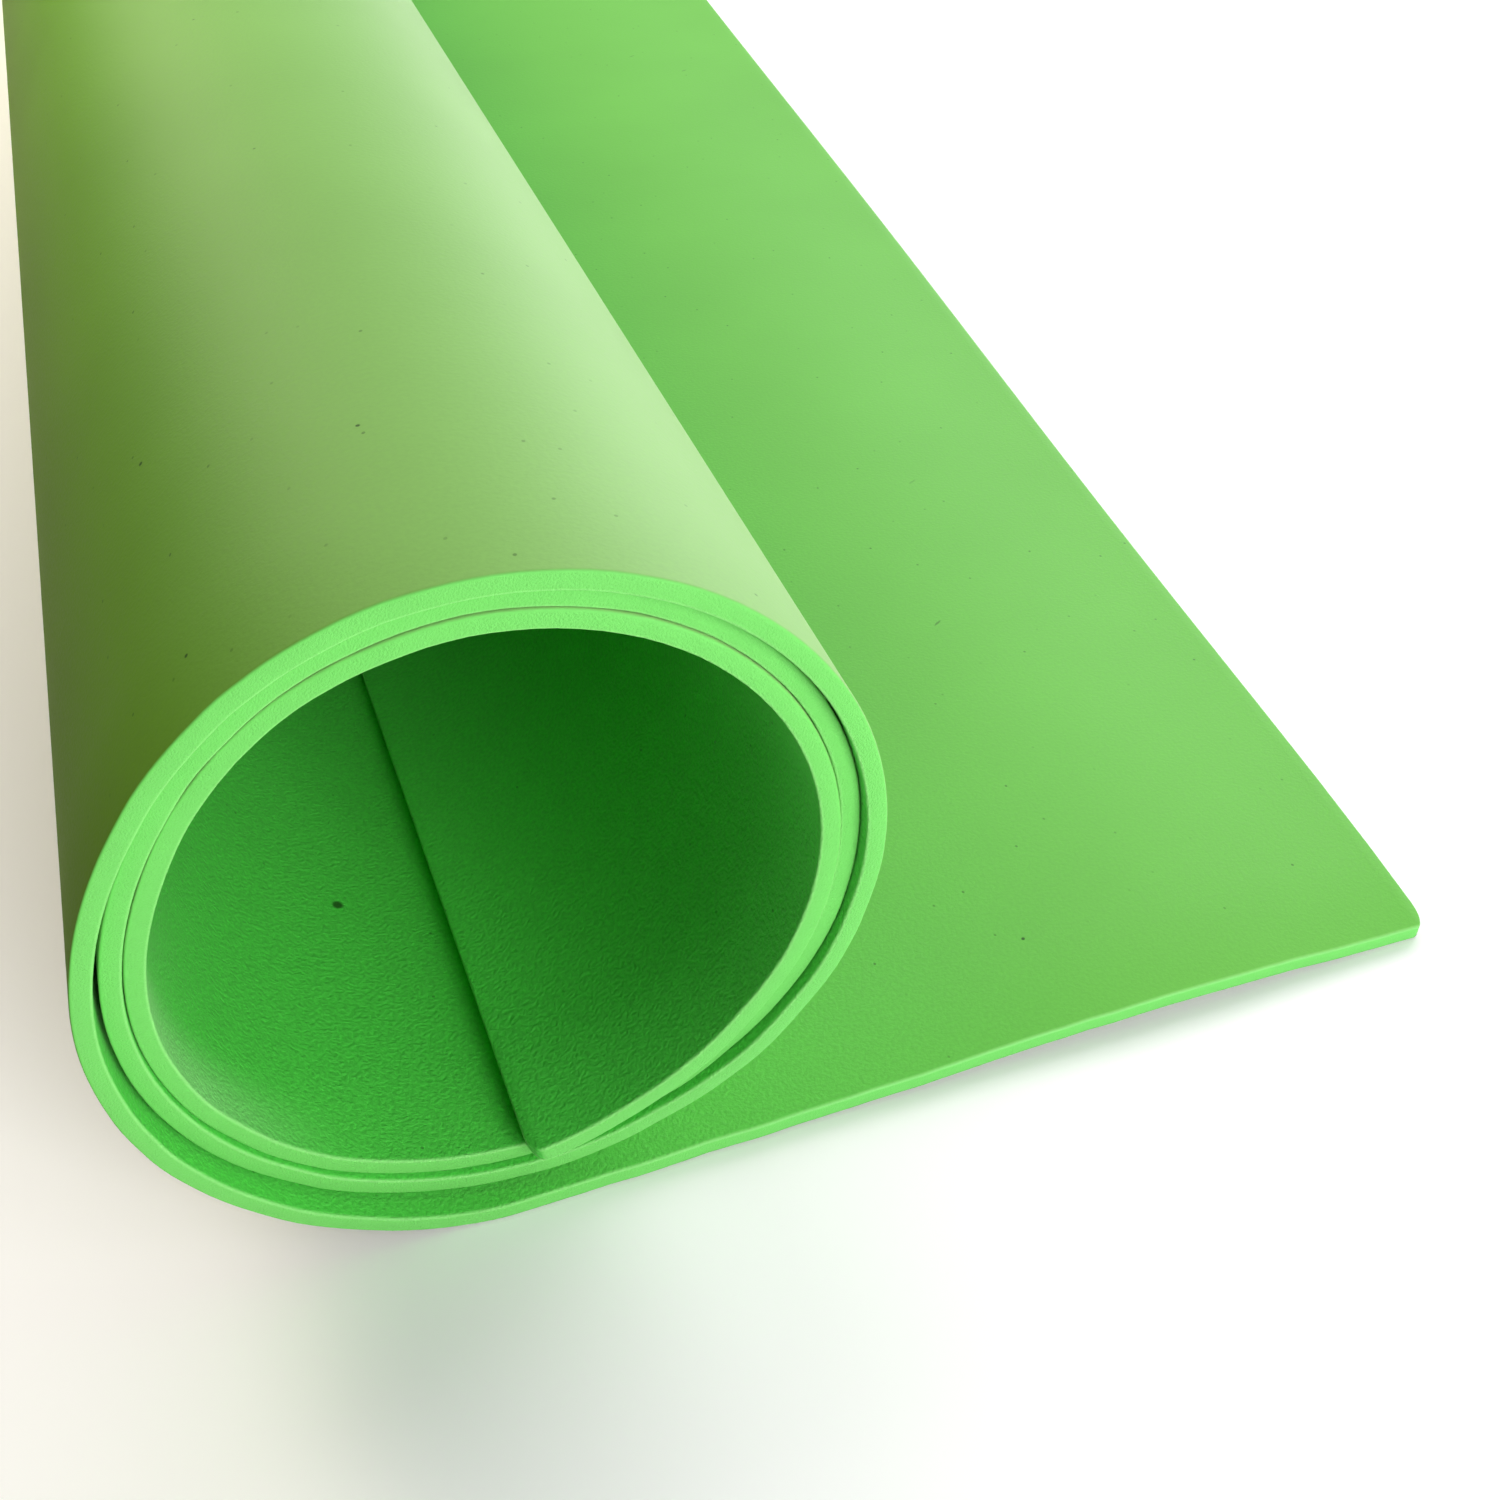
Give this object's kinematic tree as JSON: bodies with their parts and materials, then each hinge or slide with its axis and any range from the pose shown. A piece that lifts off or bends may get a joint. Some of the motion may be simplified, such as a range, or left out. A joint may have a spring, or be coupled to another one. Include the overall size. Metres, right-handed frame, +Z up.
{
  "type": "craft foam sheet",
  "caption": "Thin flexible foam sheet for craft work, rolled up loosely into an open roll, with its outer end lying out flat as a flap.",
  "frame": {"origin": "on the floor, below the middle of the bounding box of the roll and its flap together", "axes": "+Y along the roll, from its near end to its far end; +X from the roll towards the flap's free edge; +Z up"},
  "size_m": [0.1686, 0.5082, 0.0741],
  "materials": {
    "eva_foam": "matte closed-cell foam, bright green all through"
  },
  "bodies": {
    "root": {"foam_sheet": "eva_foam"}
  },
  "joints": []
}
